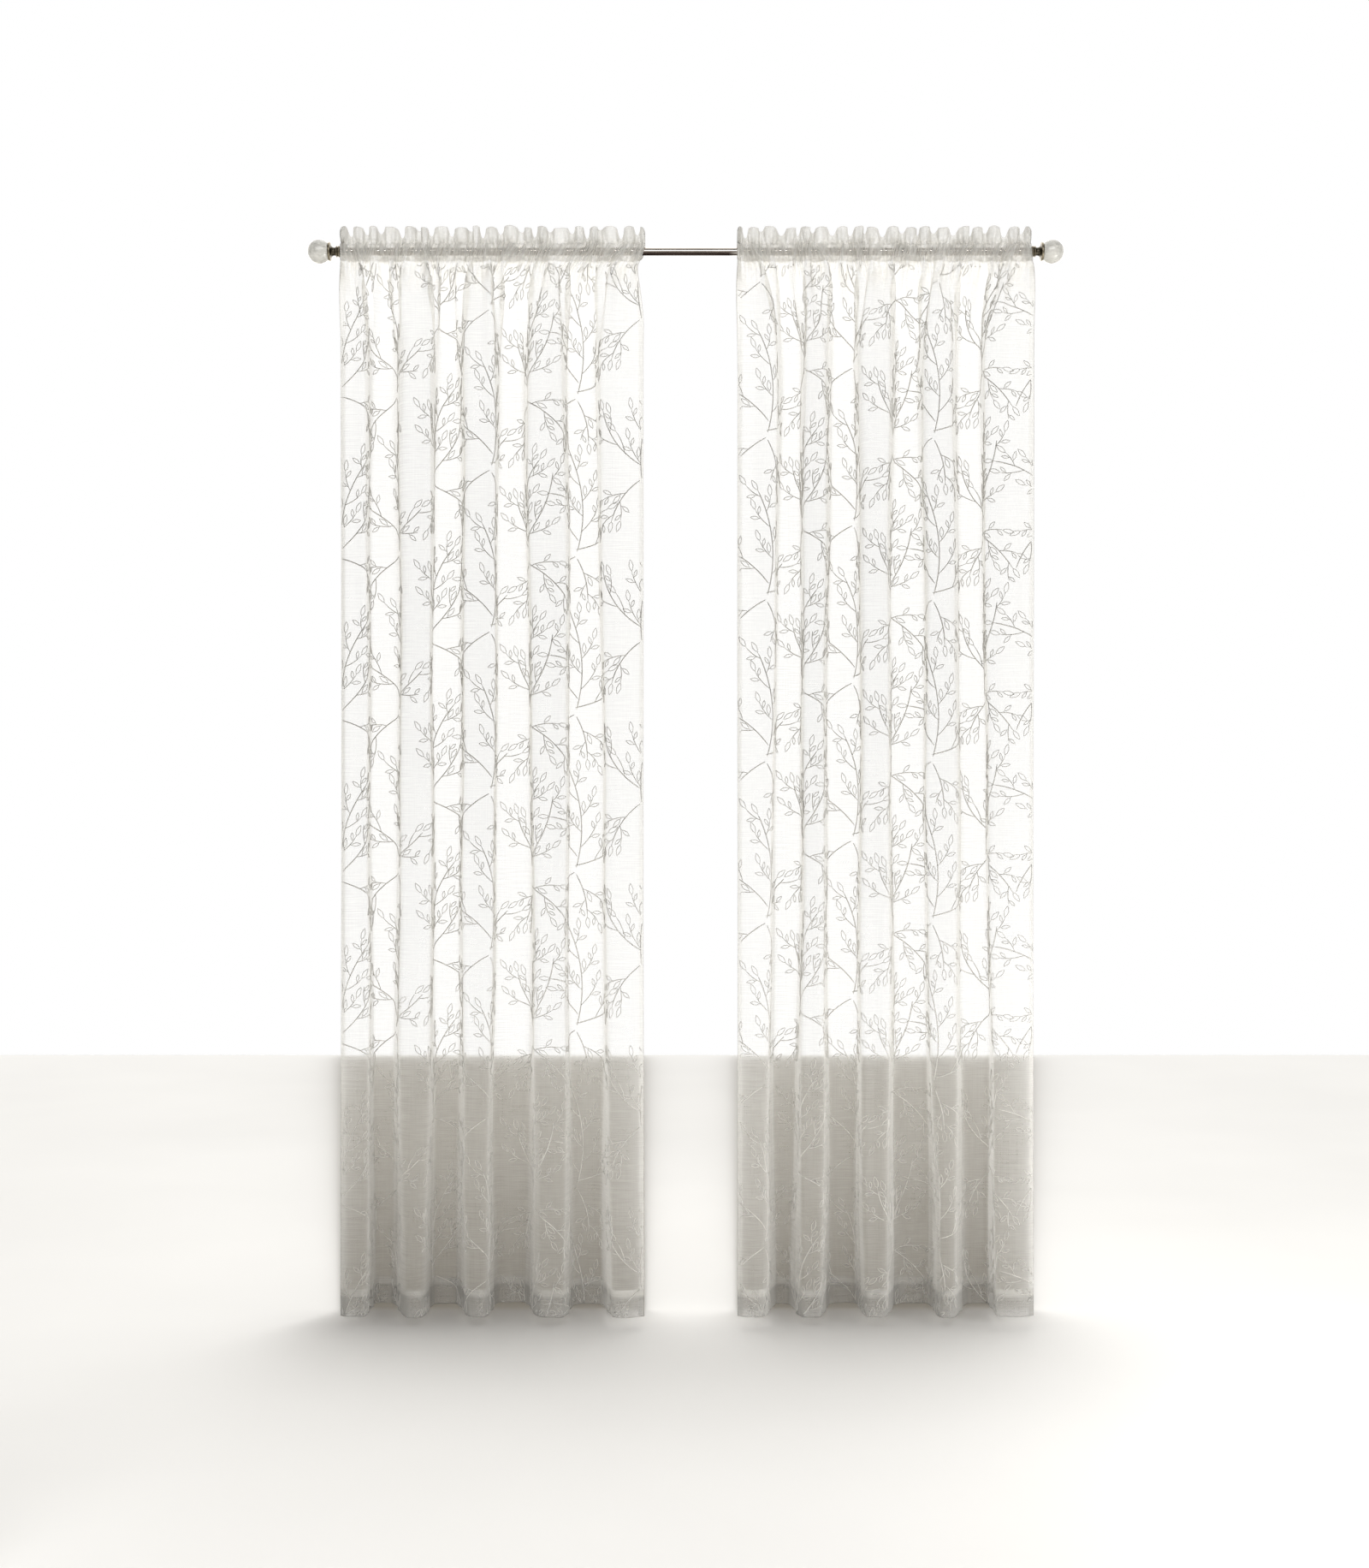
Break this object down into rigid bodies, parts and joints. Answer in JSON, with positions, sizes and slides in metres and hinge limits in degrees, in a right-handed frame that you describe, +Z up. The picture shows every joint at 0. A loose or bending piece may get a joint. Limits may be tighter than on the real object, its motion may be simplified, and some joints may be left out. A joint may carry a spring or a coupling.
{
  "type": "pair of sheer voile rod pocket curtains on a curtain rod",
  "caption": "Two sheer embroidered voile curtain panels, gathered by ruffled rod pockets on one slim rod with ball finials, hanging in soft even folds.",
  "frame": {"origin": "on the axis of the rod, halfway along it", "axes": "+X along the rod to the right as seen from the room, +Y from the room to the window, +Z up"},
  "size_m": [1.494, 0.0977, 2.1362],
  "materials": {
    "voile": "sheer plain weave with slubs",
    "embroidery_thread": "satin stitch",
    "rod_metal": "polished nickel",
    "neck_metal": "aged and turned",
    "ball_glass": "crackled"
  },
  "bodies": {
    "root": {"panel_left": "voile", "panel_right": "voile", "rod": "rod_metal", "finial_neck_left": "neck_metal", "finial_neck_right": "neck_metal", "finial_ball_left": "ball_glass", "finial_ball_right": "ball_glass"}
  },
  "joints": []
}
